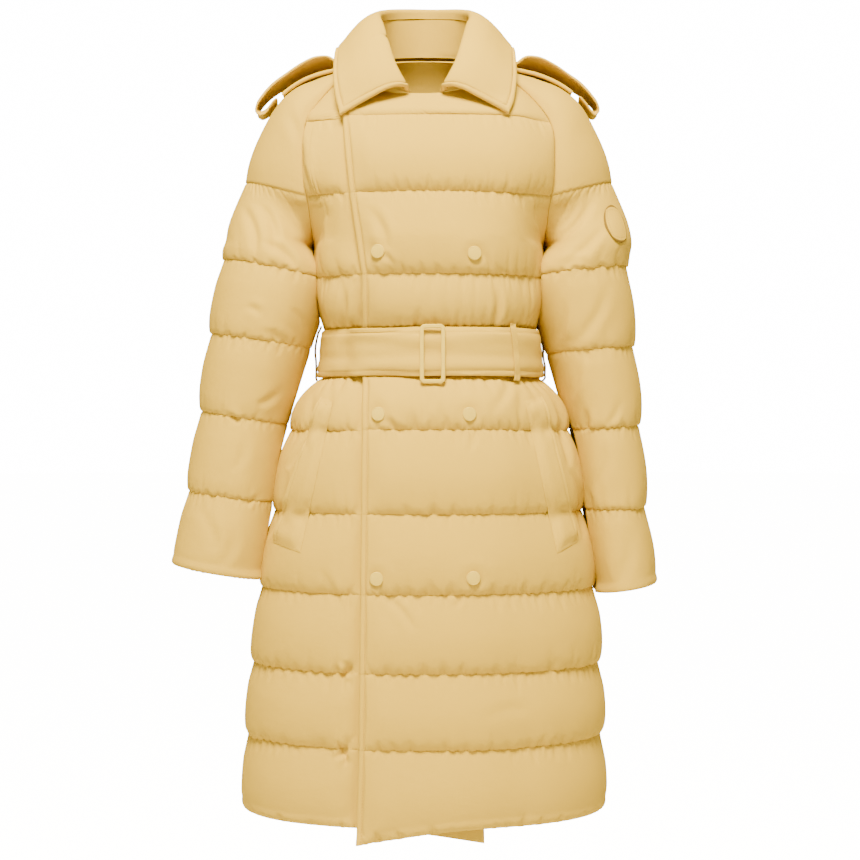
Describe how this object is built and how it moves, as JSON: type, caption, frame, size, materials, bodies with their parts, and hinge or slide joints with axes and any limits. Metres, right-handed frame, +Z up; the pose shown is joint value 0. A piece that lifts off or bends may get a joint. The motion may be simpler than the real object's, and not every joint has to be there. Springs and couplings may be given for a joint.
{
  "type": "long puffer coat",
  "caption": "Long belted down coat in its worn form, hollow: double-breasted, with raglan sleeves, horizontal quilting, a turned-down collar and shoulder straps.",
  "frame": {"origin": "middle of the neck, at the height of the side neck points, where the wearer's shoulders carry the coat", "axes": "+Z up along the wearer, -Y to the front, +X to the wearer's left"},
  "size_m": [0.6326, 0.3537, 1.0902],
  "materials": {
    "coat_cloth": "satin woven nylon and cotton, khaki",
    "trim": "smooth enamel, a little lighter than the cloth",
    "thread": "twisted thread"
  },
  "bodies": {
    "root": {"front_over": "coat_cloth", "front_under": "coat_cloth", "back": "coat_cloth", "sleeve_left": "coat_cloth", "sleeve_right": "coat_cloth", "collar": "coat_cloth", "collar_stand": "coat_cloth", "belt": "coat_cloth", "belt_buckle": "trim", "belt_keeper": "coat_cloth", "shoulder_strap_left": "coat_cloth", "shoulder_strap_right": "coat_cloth", "strap_keeper_left": "coat_cloth", "strap_keeper_right": "coat_cloth", "thread_loop_left": "thread", "thread_loop_right": "thread", "pocket_welt_left": "coat_cloth", "pocket_welt_right": "coat_cloth", "snap_a1": "trim", "snap_a2": "trim", "snap_a3": "trim", "snap_b1": "trim", "snap_b2": "trim", "snap_b3": "trim", "sleeve_patch": "coat_cloth"}
  },
  "joints": []
}
